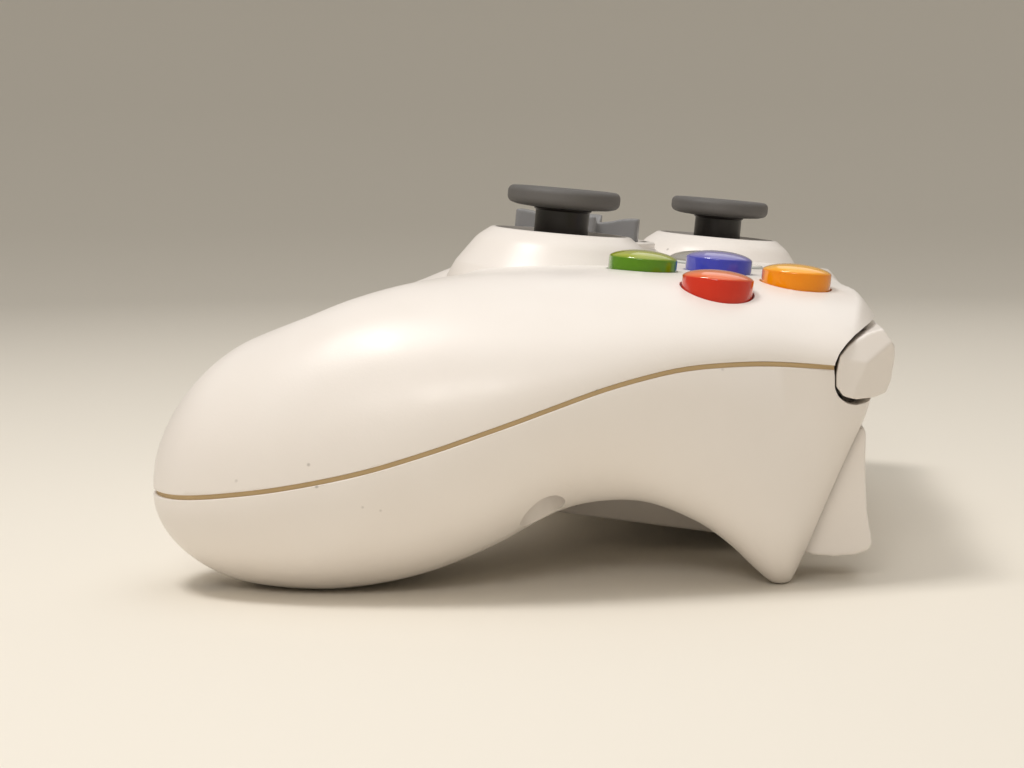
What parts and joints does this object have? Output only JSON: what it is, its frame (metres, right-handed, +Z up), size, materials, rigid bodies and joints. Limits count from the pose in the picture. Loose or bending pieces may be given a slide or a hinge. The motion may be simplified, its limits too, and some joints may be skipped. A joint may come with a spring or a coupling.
{
  "type": "two-handed gamepad",
  "caption": "White wireless two-handed gamepad with tilting sticks, a direction pad, coloured buttons, pivoting triggers and a removable battery pack.",
  "frame": {"origin": "on the surface that the gamepad stands on, under the middle of its bounding box", "axes": "+X towards the player's right hand, +Y away from the player to the bumpers and triggers, +Z up through the button face"},
  "size_m": [0.153, 0.1085, 0.0585],
  "materials": {
    "casing_white": "fine matt grain with a soft sheen",
    "stick_rubber": "smooth matt rubber",
    "stick_black": "smooth",
    "pad_grey": "smooth satin",
    "inner_plastic": "plain",
    "grey_rubber": "plain",
    "steel": "plain",
    "board": "resist coat",
    "cell_jacket": "plain jacket",
    "green_lens": "clear coloured plastic",
    "red_lens": "clear coloured plastic",
    "blue_lens": "clear coloured plastic",
    "amber_lens": "clear coloured plastic",
    "guide_silver": "pearl silver",
    "ring_lens": "milky light pipe"
  },
  "bodies": {
    "casing": {"top_casing": "casing_white", "bottom_casing": "casing_white", "centre_cover": "casing_white", "left_stick_base": "inner_plastic", "right_stick_base": "inner_plastic", "dpad_post": "inner_plastic", "accessory_port": "inner_plastic", "dpad_membrane": "grey_rubber", "menu_membrane": "grey_rubber", "button_membrane": "grey_rubber", "screw_grip_right": "steel", "screw_grip_left": "steel", "screw_flank_right": "steel", "screw_flank_left": "steel", "screw_inner_right": "steel", "screw_inner_left": "steel", "trigger_pin_right": "steel", "trigger_pin_left": "steel", "trigger_spring_right": "steel", "trigger_spring_left": "steel", "rumble_motor_right": "steel", "rumble_motor_left": "steel", "main_board": "board", "guide_ring": "ring_lens"},
    "guide_button": {"guide_button": "guide_silver"},
    "back_button": {"back_button": "pad_grey"},
    "start_button": {"start_button": "pad_grey"},
    "sync_button": {"sync_button": "pad_grey"},
    "green_button": {"green_button": "green_lens"},
    "red_button": {"red_button": "red_lens"},
    "blue_button": {"blue_button": "blue_lens"},
    "amber_button": {"amber_button": "amber_lens"},
    "dpad_pivot": {"dpad_pivot": "grey_rubber"},
    "dpad": {"dpad_cross": "pad_grey"},
    "battery_pack": {"battery_cover": "casing_white", "battery_cell_rear": "cell_jacket", "battery_cell_front": "cell_jacket"},
    "battery_latch": {"battery_latch": "casing_white"},
    "left_stick_frame": {"left_stick_frame": "inner_plastic"},
    "left_stick_yoke": {"left_stick_yoke": "inner_plastic"},
    "left_stick": {"left_stick_shaft": "stick_black", "left_stick_cap": "stick_rubber"},
    "trigger_left": {"trigger_left": "casing_white"},
    "bumper_left": {"bumper_left": "casing_white"},
    "rumble_weight_left": {"rumble_weight_left": "steel"},
    "right_stick_frame": {"right_stick_frame": "inner_plastic"},
    "right_stick_yoke": {"right_stick_yoke": "inner_plastic"},
    "right_stick": {"right_stick_shaft": "stick_black", "right_stick_cap": "stick_rubber"},
    "trigger_right": {"trigger_right": "casing_white"},
    "bumper_right": {"bumper_right": "casing_white"},
    "rumble_weight_right": {"rumble_weight_right": "steel"}
  },
  "joints": [
    {"name": "green_press", "type": "slide", "parent": "casing", "child": "green_button", "axis": [0, -0.0958, -0.9954], "range_m": [0, 0.0015], "stiffness_N_per_m": 500, "springref_m": -0.001},
    {"name": "red_press", "type": "slide", "parent": "casing", "child": "red_button", "axis": [0, -0.0958, -0.9954], "range_m": [0, 0.0015], "stiffness_N_per_m": 500, "springref_m": -0.001},
    {"name": "blue_press", "type": "slide", "parent": "casing", "child": "blue_button", "axis": [0, -0.0958, -0.9954], "range_m": [0, 0.0015], "stiffness_N_per_m": 500, "springref_m": -0.001},
    {"name": "amber_press", "type": "slide", "parent": "casing", "child": "amber_button", "axis": [0, -0.0958, -0.9954], "range_m": [0, 0.0015], "stiffness_N_per_m": 500, "springref_m": -0.001},
    {"name": "guide_press", "type": "slide", "parent": "casing", "child": "guide_button", "axis": [0, -0.0958, -0.9954], "range_m": [0, 0.001], "stiffness_N_per_m": 600, "springref_m": -0.001},
    {"name": "back_press", "type": "slide", "parent": "casing", "child": "back_button", "axis": [0, -0.0958, -0.9954], "range_m": [0, 0.001], "stiffness_N_per_m": 600, "springref_m": -0.001},
    {"name": "start_press", "type": "slide", "parent": "casing", "child": "start_button", "axis": [0, -0.0958, -0.9954], "range_m": [0, 0.001], "stiffness_N_per_m": 600, "springref_m": -0.001},
    {"name": "sync_press", "type": "slide", "parent": "casing", "child": "sync_button", "axis": [0, -1, 0], "range_m": [0, 0.0005], "stiffness_N_per_m": 800, "springref_m": -0.0005},
    {"name": "left_stick_click", "type": "slide", "parent": "casing", "child": "left_stick_frame", "axis": [0, -0.0958, -0.9954], "range_m": [0, 0.0005], "stiffness_N_per_m": 2500, "springref_m": -0.001},
    {"name": "left_stick_forward_back", "type": "hinge", "parent": "left_stick_frame", "child": "left_stick_yoke", "pos_m": [-0.039, 0.0266, 0.03442], "axis": [1, 0, 0], "range_deg": [-12, 12], "stiffness_Nm_per_rad": 0.03},
    {"name": "left_stick_sideways", "type": "hinge", "parent": "left_stick_yoke", "child": "left_stick", "pos_m": [-0.039, 0.0266, 0.03442], "axis": [0, 0.9954, -0.0958], "range_deg": [-12, 12], "stiffness_Nm_per_rad": 0.03},
    {"name": "right_stick_click", "type": "slide", "parent": "casing", "child": "right_stick_frame", "axis": [0, -0.0958, -0.9954], "range_m": [0, 0.0005], "stiffness_N_per_m": 2500, "springref_m": -0.001},
    {"name": "right_stick_forward_back", "type": "hinge", "parent": "right_stick_frame", "child": "right_stick_yoke", "pos_m": [0.0195, 0.00142, 0.03684], "axis": [1, 0, 0], "range_deg": [-12, 12], "stiffness_Nm_per_rad": 0.03},
    {"name": "right_stick_sideways", "type": "hinge", "parent": "right_stick_yoke", "child": "right_stick", "pos_m": [0.0195, 0.00142, 0.03684], "axis": [0, 0.9954, -0.0958], "range_deg": [-12, 12], "stiffness_Nm_per_rad": 0.03},
    {"name": "dpad_forward_back", "type": "hinge", "parent": "casing", "child": "dpad_pivot", "pos_m": [-0.0185, 0.00218, 0.04481], "axis": [1, 0, 0], "range_deg": [-4, 4], "stiffness_Nm_per_rad": 0.05},
    {"name": "dpad_sideways", "type": "hinge", "parent": "dpad_pivot", "child": "dpad", "pos_m": [-0.0185, 0.00218, 0.04481], "axis": [0, 0.9954, -0.0958], "range_deg": [-4, 4], "stiffness_Nm_per_rad": 0.05},
    {"name": "bumper_right_press", "type": "hinge", "parent": "casing", "child": "bumper_right", "pos_m": [0.017, 0.0476, 0.0346], "axis": [0, 0, -1], "range_deg": [0, 0.3], "stiffness_Nm_per_rad": 1.5, "springref_deg": -1.72},
    {"name": "trigger_right_pull", "type": "hinge", "parent": "casing", "child": "trigger_right", "pos_m": [0.0444, 0.0454, 0.0266], "axis": [-1, 0, 0], "range_deg": [0, 10.5], "stiffness_Nm_per_rad": 0.06, "springref_deg": -11.46},
    {"name": "rumble_right_spin", "type": "hinge", "parent": "casing", "child": "rumble_weight_right", "pos_m": [0.06, -0.03, 0.018], "axis": [1, 0, 0], "continuous": true},
    {"name": "bumper_left_press", "type": "hinge", "parent": "casing", "child": "bumper_left", "pos_m": [-0.017, 0.0476, 0.0346], "axis": [0, 0, 1], "range_deg": [0, 0.3], "stiffness_Nm_per_rad": 1.5, "springref_deg": -1.72},
    {"name": "trigger_left_pull", "type": "hinge", "parent": "casing", "child": "trigger_left", "pos_m": [-0.0444, 0.0454, 0.0266], "axis": [-1, 0, 0], "range_deg": [0, 10.5], "stiffness_Nm_per_rad": 0.06, "springref_deg": -11.46},
    {"name": "rumble_left_spin", "type": "hinge", "parent": "casing", "child": "rumble_weight_left", "pos_m": [-0.06, -0.03, 0.018], "axis": [1, 0, 0], "continuous": true},
    {"name": "battery_out", "type": "slide", "parent": "casing", "child": "battery_pack", "axis": [0, -0.1219, -0.9925], "range_m": [0, 0.03]},
    {"name": "latch_push", "type": "slide", "parent": "battery_pack", "child": "battery_latch", "axis": [0, 0.9925, -0.1219], "range_m": [0, 0.001], "stiffness_N_per_m": 600, "springref_m": -0.0005}
  ]
}
